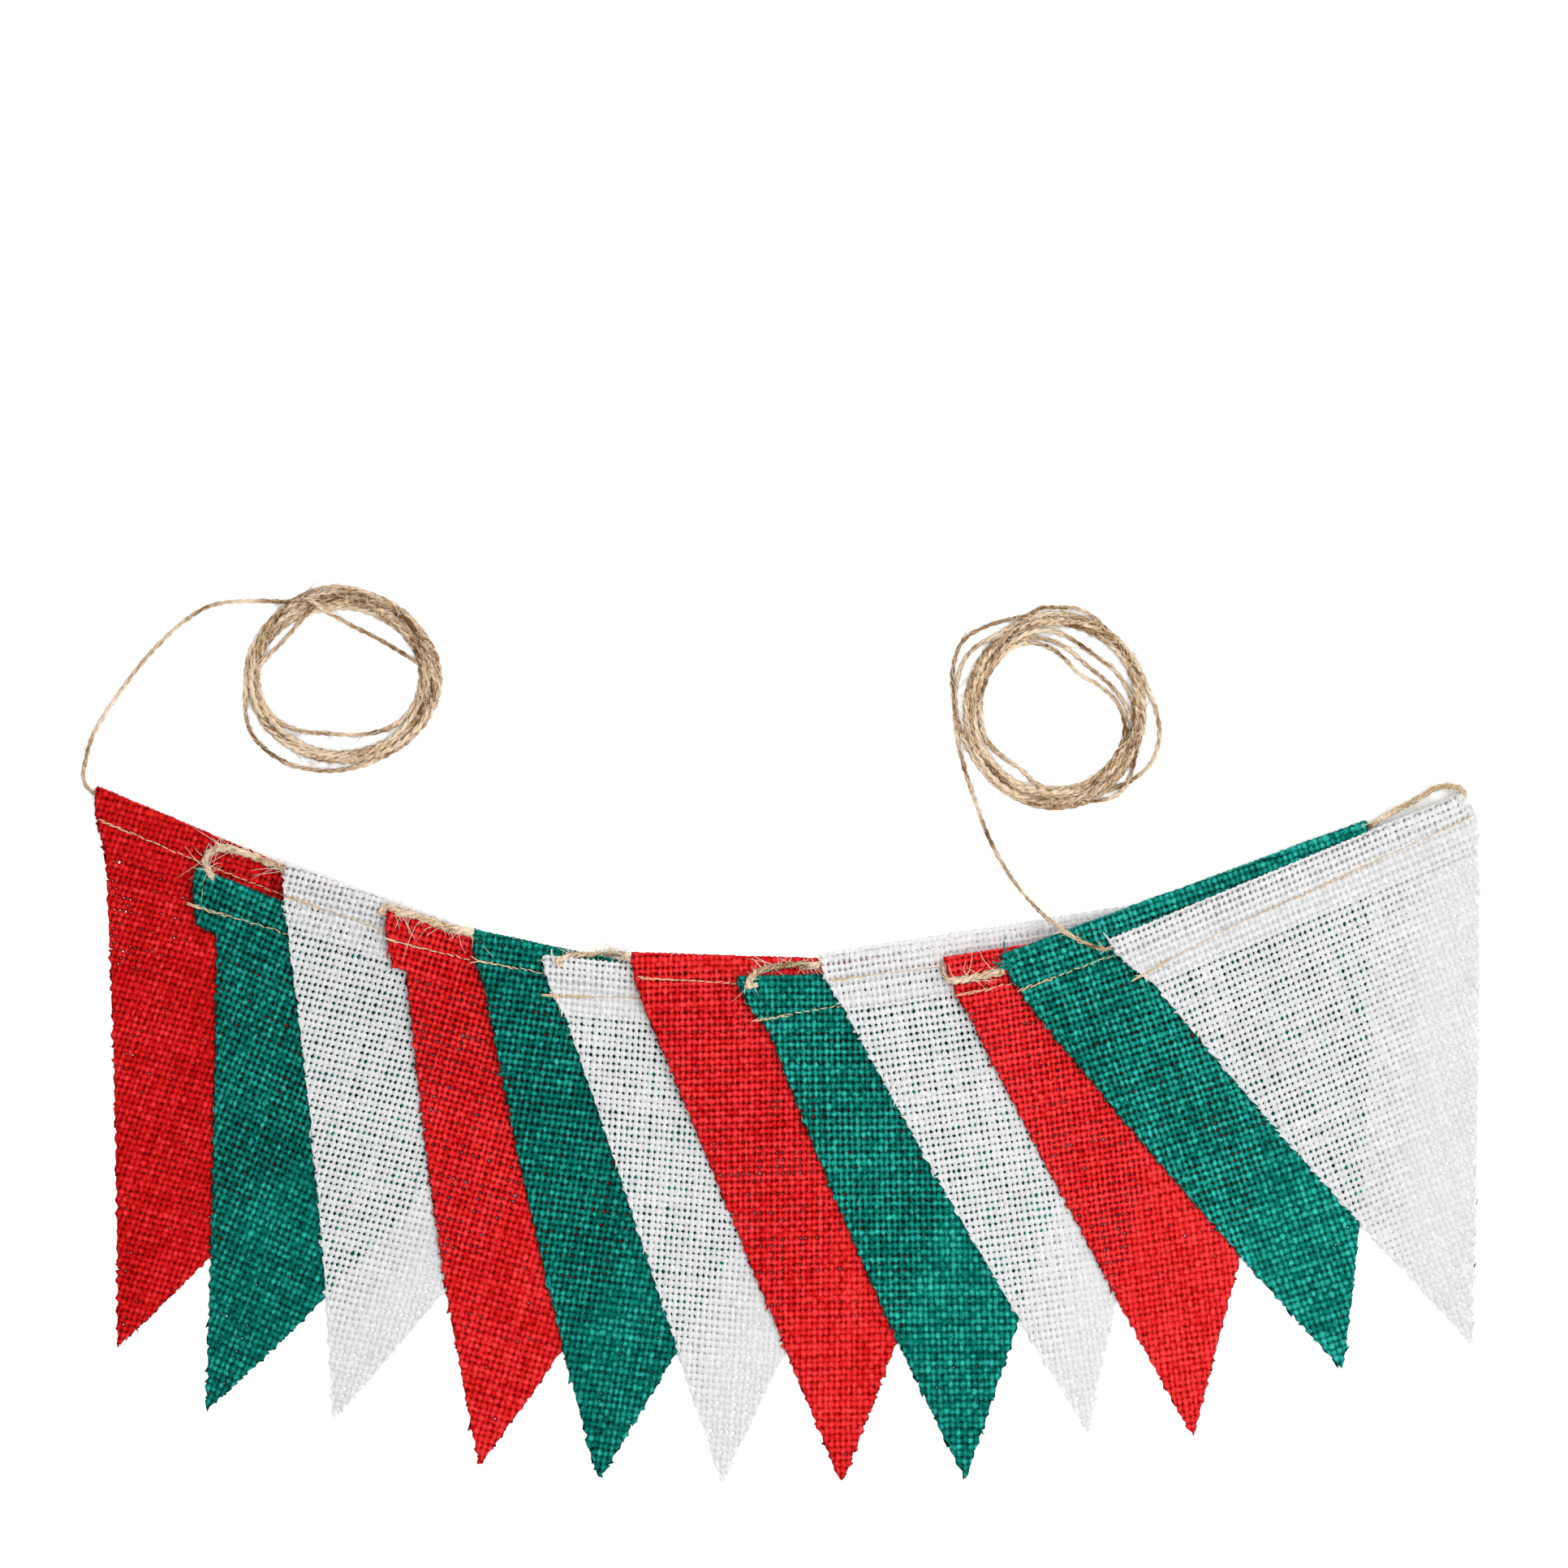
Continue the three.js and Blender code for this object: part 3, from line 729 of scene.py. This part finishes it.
def free_twine(name, pennant, route, lead_node, coil, coil_node):
    """A free end of the twine: its lead and its coil as one cord."""
    lead = lead_path(pennant, route, lead_node)
    turns, turn_swell = coil_path(coil, lead[-1])
    knots = np.vstack([lead[:-2:LEAD_STRIDE], lead[-1:], turns[2:]])
    swell = np.ones(len(knots))
    swell[-len(turn_swell[2:]):] = turn_swell[2:]
    path = smooth_path(knots, FREE_STEP)
    path[:, 2] = np.maximum(path[:, 2], RADIUS)
    travelled = np.r_[0, np.cumsum(np.linalg.norm(np.diff(knots, axis=0), axis=1))]
    share = np.linspace(0, travelled[-1], len(path))
    points, quads, triangles, uv, shade = twisted(path, np.interp(share, travelled, swell))
    piece = new_piece(name, points, quads, triangles, JUTE, uv, shade)
    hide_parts(lead_node, coil_node)
    fuzz(f"fuzz_{name}", path, *FREE_FUZZ)


free_twine("twine_left", pennants[0], LEFT_ROUTE, "twine_lead_left", LEFT_COIL, "twine_coil_left")
free_twine("twine_right", pennants[-1], RIGHT_ROUTE, "twine_lead_right", RIGHT_COIL, "twine_coil_right")


def channel_points(pennant, parts):
    left, right = pennant.left_edge(AXIS_DROP), pennant.right_edge(AXIS_DROP)
    return pennant.raised(left + (right - left) * np.asarray(parts, float), AXIS_DROP, AXIS_LIFT)


def at_height(pennant, u, v, z):
    x, y = pennant.to_plan(u, v)
    return np.array([x, y, z], float)


def pile_top(x, y, number):
    """Height of the solids' top over a plan point, up to one pennant."""
    down = Vector((0, 0, -1))
    hits = [pennant.tree.ray_cast(Vector((x * MM, y * MM, 1)), down)[0] for pennant in pennants[:number]]
    return max([hit.z / MM for hit in hits if hit is not None], default=0.0)


def hidden_loop(before, after):
    """From one right end round to the next, the way the solid twine goes."""
    start, end = channel_points(before, 1), channel_points(after, 1)
    u, v = after.from_plan(start[0], start[1])
    before_end, after_end = float(before.right_edge(AXIS_DROP)), float(after.right_edge(AXIS_DROP))
    return [
        at_height(before, before_end + LOOP_OUT, AXIS_DROP, start[2]),
        at_height(after, u + 4 * LOOP_OUT, min(v, -LOOP_CLEAR), start[2]),
        at_height(after, after.fold - 4 * LOOP_BULGE, -LOOP_RISE, start[2]),
        at_height(after, after.fold - LOOP_BULGE, LOOP_OUT - LOOP_RISE, start[2]),
        at_height(after, after_end + LOOP_BULGE, 0, end[2]),
        at_height(after, after_end + LOOP_OUT, AXIS_DROP, end[2]),
    ]


def shown_loop(before, after):
    """From one left end to the next over the cloth, or at the last right end through the air."""
    _, swell, route = SHOWN_LOOPS[before.number]
    if before.number % 2 == 1:
        heights = np.linspace(channel_points(before, 1)[2], channel_points(after, 1)[2], len(route))
    else:
        heights = [pile_top(x, y, before.number) + swell * RADIUS for x, y in route]
        heights[-1] = channel_points(after, 0)[2]
    return [np.array([x, y, z]) for (x, y), z in zip(route, heights)]


def threaded_twine():
    """The twine through all the channels, with its loops; returns the paths of those that show."""
    knots, swells, loop_paths = [], [], []
    for index, pennant in enumerate(pennants):
        rightward = index % 2 == 0
        leaves, swell, _ = SHOWN_LOOPS.get(pennant.number, (0.0, 1.0, None))
        parts = np.linspace(*((0, 1) if rightward else (1, leaves)), CHANNEL_KNOTS)
        knots.extend(channel_points(pennant, parts))
        swells.extend(np.ones(len(parts)))
        if index + 1 < len(pennants):
            shown = pennant.number in SHOWN_LOOPS
            loop = (shown_loop if shown else hidden_loop)(pennant, pennants[index + 1])
            knots.extend(loop)
            swells.extend(np.full(len(loop), swell))
            if shown:
                loop_paths.append(smooth_path(loop, LOOP_STEP))
    path = smooth_path(knots, THREADED_STEP)
    nearest = [int(np.argmin(np.linalg.norm(path - knot, axis=1))) for knot in knots]
    swell = np.interp(np.arange(len(path)), nearest, swells)
    points, quads, triangles, uv, shade = twisted(path, swell)
    piece = new_piece("twine_in_hems", points, quads, triangles, JUTE, uv, shade)
    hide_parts("twine_threaded")
    return loop_paths


loop_paths = threaded_twine()
for number, loop_path in enumerate(loop_paths):
    fuzz(f"fuzz_loop_{number + 1}", loop_path, *LOOP_FUZZ)


# Weave
YARN_PROFILE = [(-1.0, -1.0), (1.0, -1.0), (0.0, 1.0)]
CREST_WIDTH = 1.12  # share of the spacing, where a yarn crosses another
WAIST_WIDTH = {"red": 0.82, "green": 0.76, "white": 0.52}  # share of the spacing, between two crossings
CLOSER = {3: -0.1, 6: -0.06, 9: -0.04, 12: -0.03}  # how much wider, or below 0 narrower, some yarns are
SPREAD = {"red": 0.24, "green": 0.28, "white": 0.14}  # how much wider they are over the bare table
# How much darker each pennant is coloured than the ordinary: partly its dye, partly painted light and shade
# for how brightly each one is lit
DEEPER = {
    1: 0.16, 2: 0.15, 3: -0.1, 4: 0.05, 5: 0.15, 6: -0.1,
    7: 0.02, 8: 0.1, 9: -0.12, 10: -0.03, 11: 0.07, 12: -0.04,
}
THIN_PATCH = {1: (5.0, 46.0, 24.0, 0.5)}  # where a cloth is thin: u, p, reach, how much narrower its yarns
COVER = 4.0  # cloth this far inside a later pennant's outline is out of sight
YARN_HALF_HEIGHT = 0.26
YARN_BOB = 0.3  # how far a yarn passes over or under the middle of the cloth
ORDINARY_SHADE = 0.195
CREST_LIGHT_AND_SHADE = 0.235  # painted highlight where a yarn comes over another and painted shade where it goes under: how much paler or darker it is
TRIM = 0.35  # the cloth's outline to where its yarns are cut
FRAY = 0.13  # how unevenly the yarns are cut off
LONGEST_FRAY = 4.0
MEAN_CUT = 0.4
SHORTEST_END = 0.1
PROBE = 0.15  # share of the spacing over which the slope of the outline is felt
STEEPEST_CUT = 1.6
HALF = 0.5  # of the spacing, from a crossing to the waist after it
NEAR_WAIST = 0.3
BEYOND = 12.0  # yarns are laid out this far past a fold's ends, and then cut

# How yarns differ: whole yarns first, then places along them
YARN_SHIFT = 0.05
YARN_THICKNESS = 0.07
YARN_TONE = 0.03
JITTER = 0.05
UNEVENNESS = 0.1
SPOTS = 0.09

# Slow waves along a yarn: size, rate
SHORT_SWAY = (0.05, 0.35)
LONG_SWAY = (0.05, 0.13)
LONG_SLUB = (0.1, 0.21)
SHORT_SLUB = (0.05, 0.9)
TONE_WAVE = (0.03, 0.17)


def wave(shape, step, phase):
    size, rate = shape
    return size * np.sin(rate * step + phase)


def within(others, x, y, inset):
    """Which plan points lie inside the outline of any of the other pennants."""
    found = np.zeros(np.shape(x), bool)
    for other in others:
        u, v = other.from_plan(x, y)
        inside = np.minimum(u - other.left_edge(v), other.right_edge(v) - u)
        found |= (inside > inset) & (v > inset) & (v < other.drop)
    return found


def cut_slant(pennant, cloth_point, step, spread, run):
    """How a yarn's end slants to lie along the pennant's outline."""
    ahead = pennant.margin(*cloth_point(step + PROBE)) - pennant.margin(*cloth_point(step - PROBE))
    aside = pennant.margin(*cloth_point(step, PROBE)) - pennant.margin(*cloth_point(step, -PROBE))
    ahead = ahead / np.linalg.norm(run)
    aside = aside / np.linalg.norm(spread)
    sloping = np.abs(ahead) > NO_GAP
    steepness = np.where(sloping, -aside / np.where(sloping, ahead, 1), 0)
    return np.clip(steepness, -STEEPEST_CUT, STEEPEST_CUT)


def yarns(pennant, family):
    """One family of yarns, over and under the other, cut off at the pennant's outline."""
    warp_way = np.array([-math.sin(pennant.warp_skew), math.cos(pennant.warp_skew)])
    weft_way = np.array([math.cos(pennant.weft_skew), math.sin(pennant.weft_skew)])
    square = weft_way[0] * warp_way[1] - weft_way[1] * warp_way[0]
    to_next_warp = weft_way * pennant.warp_pitch / square
    to_next_weft = warp_way * pennant.weft_pitch / square
    is_warp = family == "warp"
    spread, run = (to_next_warp, to_next_weft) if is_warp else (to_next_weft, to_next_warp)
    pitch = pennant.warp_pitch if is_warp else pennant.weft_pitch
    ends = (pennant.first_p, pennant.last_p)
    corners = np.array([(u, p) for u in (-BEYOND, pennant.fold + BEYOND) for p in ends])
    counts = np.linalg.solve(np.stack([spread, run], -1), corners.T)
    first, last = np.floor(counts.min(1)) - 1, np.ceil(counts.max(1)) + 1
    number = np.arange(first[0], last[0] + 1)
    step = np.arange(first[1], last[1] + HALF, HALF)
    number, step = np.meshgrid(number, step, indexing="ij")
    many = len(number)
    shift = scatter(YARN_SHIFT, (many, 1))
    thick = 1 + scatter(YARN_THICKNESS, (many, 1))
    tone = scatter(YARN_TONE, (many, 1))
    phase = draws.uniform(0, 2 * math.pi, (many, 3))
    jitter = scatter(JITTER, step.shape)
    uneven = 1 + scatter(UNEVENNESS, step.shape)

    def cloth_point(step, aside=0.0):
        sway = wave(SHORT_SWAY, step, phase[:, :1]) + wave(LONG_SWAY, step, phase[:, 1:2])
        across = number + shift + sway + jitter + aside
        u = across * spread[0] + step * run[0]
        p = across * spread[1] + step * run[1]
        return u, p

    gap = pennant.margin(*cloth_point(step)) - TRIM
    inside = gap > 0
    fray = (draws.exponential(1.0, gap.shape).clip(0, LONGEST_FRAY) - MEAN_CUT) * FRAY
    leaving = inside[:, :-1] & ~inside[:, 1:]
    entering = ~inside[:, :-1] & inside[:, 1:]
    fall = np.maximum(np.abs(gap[:, :-1] - gap[:, 1:]), NO_GAP)
    out_share = np.clip((gap[:, :-1] + fray[:, :-1]) / fall, SHORTEST_END, 1)
    in_share = np.clip((gap[:, 1:] + fray[:, 1:]) / fall, SHORTEST_END, 1)
    whole = step.copy()
    step[:, 1:][leaving] = (whole[:, :-1] + HALF * out_share)[leaving]
    step[:, :-1][entering] = (whole[:, 1:] - HALF * in_share)[entering]
    kept = inside.copy()
    kept[:, 1:] |= leaving
    kept[:, :-1] |= entering
    linked = kept[:, :-1] & kept[:, 1:] & (inside[:, :-1] | inside[:, 1:])
    starts = kept.copy()
    starts[:, 1:] &= ~linked
    label = np.cumsum(starts.ravel()).reshape(kept.shape)
    u, p = cloth_point(step)
    waist = np.abs(np.cos(math.pi * step)) < NEAR_WAIST
    inner = np.zeros_like(kept)
    inner[:, 1:-1] = linked[:, :-1] & linked[:, 1:]
    slant = cut_slant(pennant, cloth_point, step, spread, run)
    slant = np.where(inner, 0, slant) * (-1 if is_warp else 1)
    plan = pennant.to_plan(u, np.interp(p, section_p, section[:, 0]))
    unseen = within(pennants[pennant.number:], *plan, COVER)
    on_table = ~within(pennants[:pennant.number - 1], *plan, 0)
    kept &= ~(waist & unseen & inner)
    points, normals = pennant.on_cloth(u[kept], p[kept])
    bob = np.cos(math.pi * (number + step))[kept] * (1 if is_warp else -1)
    crest = np.where(inner, np.abs(np.cos(math.pi * step)), 1)
    slub = thick * (1 + wave(LONG_SLUB, step, phase[:, 2:]) + wave(SHORT_SLUB, step, phase[:, :1]))
    waist_width = WAIST_WIDTH[pennant.dye] + CLOSER.get(pennant.number, 0) + SPREAD[pennant.dye] * on_table
    if pennant.number in THIN_PATCH:
        patch_u, patch_p, reach, loss = THIN_PATCH[pennant.number]
        waist_width -= loss * np.exp(-((u - patch_u) ** 2 + (p - patch_p) ** 2) / reach ** 2)
    width = (waist_width + (CREST_WIDTH - waist_width) * crest) * slub * uneven * pitch / 2
    centres = points + normals * (bob * YARN_BOB)[:, None]
    height = np.full(len(centres), YARN_HALF_HEIGHT)
    made = strands(centres, label[kept], normals, YARN_PROFILE, width[kept], height, slant[kept])
    tone = tone + wave(TONE_WAVE, step, phase[:, 1:2]) + scatter(SPOTS, step.shape)
    # Each point's tone: the yarn's own tone, the pennant's colour, and painted highlight on each crest with
    # painted shade where the yarn goes under
    shade = (ORDINARY_SHADE - DEEPER[pennant.number] + tone)[kept] + CREST_LIGHT_AND_SHADE * bob
    shade = np.repeat(shade, len(YARN_PROFILE))
    name = f"cloth_{pennant.number:02d}_{family}"
    piece = new_piece(name, *made[:3], BURLAP[pennant.dye], made[3], shade, pennant.dye != "white")
    return piece


# Yarn ends that have come loose: dye, and plan points from the cloth outwards
LOOSE_YARNS = [
    ("green", [(78.6, 59.4), (77.6, 61.6), (76.4, 65), (75.8, 69)]),
    ("green", [(77.8, 60.2), (76.4, 60.6), (74.1, 60.9), (71.5, 61.5)]),
    ("green", [(77.4, 58.8), (75.6, 59.6), (73.4, 59.7)]),
    ("white", [(114.4, 67.6), (113, 69.6), (112.1, 70.8), (111.2, 71.9)]),
    ("white", [(-83.2, 60.2), (-84, 61.8), (-84.7, 64), (-84.8, 66.1)]),
    ("green", [(-109, 70.6), (-110.6, 72), (-112.4, 73.4)]),
    ("red", [(-141.4, 68.4), (-142.6, 66.8), (-143.4, 64.6), (-143.6, 63)]),
]
LOOSE_SIZES = (0.5, 0.25)  # radius at the cloth and at the end
LOOSE_STEP = 0.7
LOOSE_SHADE = 0.2
DROOP = 0.35  # fall of a loose end that stands out past the pile


def loose_yarn(number, dye, plan):
    """A yarn end that lies on top of the pile or stands out past it."""
    way = np.r_[0, np.cumsum(np.linalg.norm(np.diff(plan, axis=0), axis=1))]
    under = np.array([pile_top(x, y, len(pennants)) for x, y in plan])
    height = np.maximum(under, under[0] - DROOP * way) + LOOSE_SIZES[0]
    path = smooth_path(np.column_stack([plan, height]), LOOSE_STEP)
    size = np.linspace(*LOOSE_SIZES, len(path))
    normals = np.broadcast_to(UP, path.shape)
    made = strands(path, np.zeros(len(path)), normals, polygon(4), size, size)
    shade = np.full(len(made[0]), LOOSE_SHADE)
    piece = new_piece(f"loose_yarn_{number + 1}", *made[:3], BURLAP[dye], made[3], shade)


for number, (dye, plan) in enumerate(LOOSE_YARNS):
    loose_yarn(number, dye, plan)


# Stitching
STITCH = 2.7
STITCH_GAP = 0.35
THREAD_RADIUS = 0.22
ARCH = np.array([-0.5, -0.3, 0.0, 0.3, 0.5])  # places along a stitch, and how high it is there
ARCH_RISE = np.array([-0.3, 0.2, 0.3, 0.2, -0.3])
STITCH_CHANGE = 0.25  # in length
STITCH_SHIFT = 0.12
STITCH_SKEW = 0.4
BACK_STITCH = 14.0  # at the left end the seam is sewn twice
BACK_ASIDE = 0.4
TAIL_START = 3.0  # from the left edge
TAIL_KNOTS = 6
TAIL_BENDS = (-1.5, 2.0)
TAIL_GAP = 0.5
TAIL_LIFT = 0.3
TAILS = {2: 2.0, 4: 1.5, 5: 2.5, 6: 3.0, 12: 2.0}  # loose ends of thread past the left edge
SEAM_LATER = 40.0  # where along the fold the seam's second distance is given
SEAM_END = 9.0  # distance of the seam from the fold at the right end
upper = section[:, 0].argmin()


def on_hem(pennant, u, v, lift):
    """Points above the top of the hem."""
    top = np.interp(v, section[upper:, 0], section[upper:, 1]) + CLOTH / 2
    return pennant.raised(u, v, top + lift)


def seam_line(pennant, u):
    return np.interp(u, [0, SEAM_LATER, pennant.fold], [*pennant.seam, SEAM_END])


def stitching(pennant):
    """A row of stitches through both layers of the hem, each a low arch between two holes."""
    left, right = (float(edge(np.float64(SEAM))) for edge in (pennant.left_edge, pennant.right_edge))
    single = np.arange(left + STITCH / 2, right, STITCH + STITCH_GAP)
    double = np.arange(left + STITCH, left + BACK_STITCH, STITCH + STITCH_GAP)
    middle = np.concatenate([single, double])
    aside = np.concatenate([np.zeros(len(single)), np.full(len(double), BACK_ASIDE)])
    count = len(middle)
    u = middle[:, None] + ARCH * (STITCH + STITCH_CHANGE * draws.standard_normal((count, 1)))
    shift = STITCH_SHIFT * draws.standard_normal((count, 1))
    skew = ARCH * STITCH_SKEW * draws.standard_normal((count, 1))
    v = seam_line(pennant, u) + aside[:, None] + (shift + skew)
    lift = np.broadcast_to(ARCH_RISE, u.shape)
    centres = on_hem(pennant, u.ravel(), v.ravel(), lift.ravel())
    labels = np.repeat(np.arange(count), len(ARCH))
    tail = left + np.linspace(TAIL_START, -TAILS.get(pennant.number, 0), TAIL_KNOTS)
    for number in range(2 if pennant.number in TAILS else 0):
        bend = draws.uniform(*TAIL_BENDS) * np.linspace(0, 1, len(tail)) ** 2
        down = seam_line(pennant, np.full(len(tail), left)) + TAIL_GAP * number + bend
        centres = np.vstack([centres, on_hem(pennant, tail, down, np.full(len(tail), TAIL_LIFT))])
        labels = np.concatenate([labels, np.full(len(tail), count + number)])
    size = np.full(len(centres), THREAD_RADIUS)
    normals = np.broadcast_to(UP, centres.shape)
    points, quads, triangles, uv = strands(centres, labels, normals, polygon(4), size, size)
    return new_piece(f"stitches_{pennant.number:02d}", points, quads, triangles, THREAD, uv)


for pennant in pennants:
    warp = yarns(pennant, "warp")
    weft = yarns(pennant, "weft")
    stitches = stitching(pennant)
    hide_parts(pennant.node)
    pennant.flat_area() * MM * MM


# Table and light
TABLE_HALF = 4.0
KEY_PLACE = Vector((0.35, 0.1, 1.3))
KEY_ENERGY = 19.6
KEY_SIZE = 1.0
STUDIO_LIGHT = 0.53
TABLE_GREY = (0.45, 0.45, 0.45, 1)
TABLE_GLOW = 1.5  # painted light: the table glows so that its open ground is pure white
OPEN_FLOOR = 0.015  # cloth closer than this keeps the glow off the table, which paints shade on the table beneath it
GLOW_FALL = 2.4


def white_table():
    material = bpy.data.materials.new("white_table")
    material.use_nodes = True
    bsdf = shader(material)
    bsdf.inputs["Base Color"].default_value = TABLE_GREY
    bsdf.inputs["Roughness"].default_value = 0.9
    bsdf.inputs["Specular IOR Level"].default_value = 0.0
    bsdf.inputs["Emission Strength"].default_value = TABLE_GLOW
    # painted shade: the glow fades where cloth or twine lies close over the table
    lit = material.node_tree.nodes.new("ShaderNodeAmbientOcclusion")
    lit.samples = 3
    lit.inputs["Distance"].default_value = OPEN_FLOOR
    fall = material.node_tree.nodes.new("ShaderNodeGamma")
    fall.inputs["Gamma"].default_value = GLOW_FALL
    material.node_tree.links.new(lit.outputs["Color"], fall.inputs["Color"])
    material.node_tree.links.new(fall.outputs["Color"], bsdf.inputs["Emission Color"])
    mesh = bpy.data.meshes.new("table")
    corners = [(x * TABLE_HALF, y * TABLE_HALF, 0) for x, y in ((-1, -1), (1, -1), (1, 1), (-1, 1))]
    mesh.from_pydata(corners, [], [(0, 1, 2, 3)])
    mesh.materials.append(material)
    table = bpy.data.objects.new("table", mesh)
    scene.collection.objects.link(table)


def key_light():
    data = bpy.data.lights.new("key", "AREA")
    data.energy = KEY_ENERGY
    data.size = KEY_SIZE
    light = bpy.data.objects.new("key", data)
    light.location = KEY_PLACE
    light.rotation_euler = KEY_PLACE.to_track_quat("Z", "Y").to_euler()
    scene.collection.objects.link(light)


def studio():
    world = bpy.data.worlds.new("studio")
    world.use_nodes = True
    background = world.node_tree.nodes["Background"]
    background.inputs["Color"].default_value = (1, 1, 1, 1)
    background.inputs["Strength"].default_value = STUDIO_LIGHT
    scene.world = world
    scene.view_settings.view_transform = "Standard"


white_table()
key_light()
studio()

bpy.context.view_layer.update()
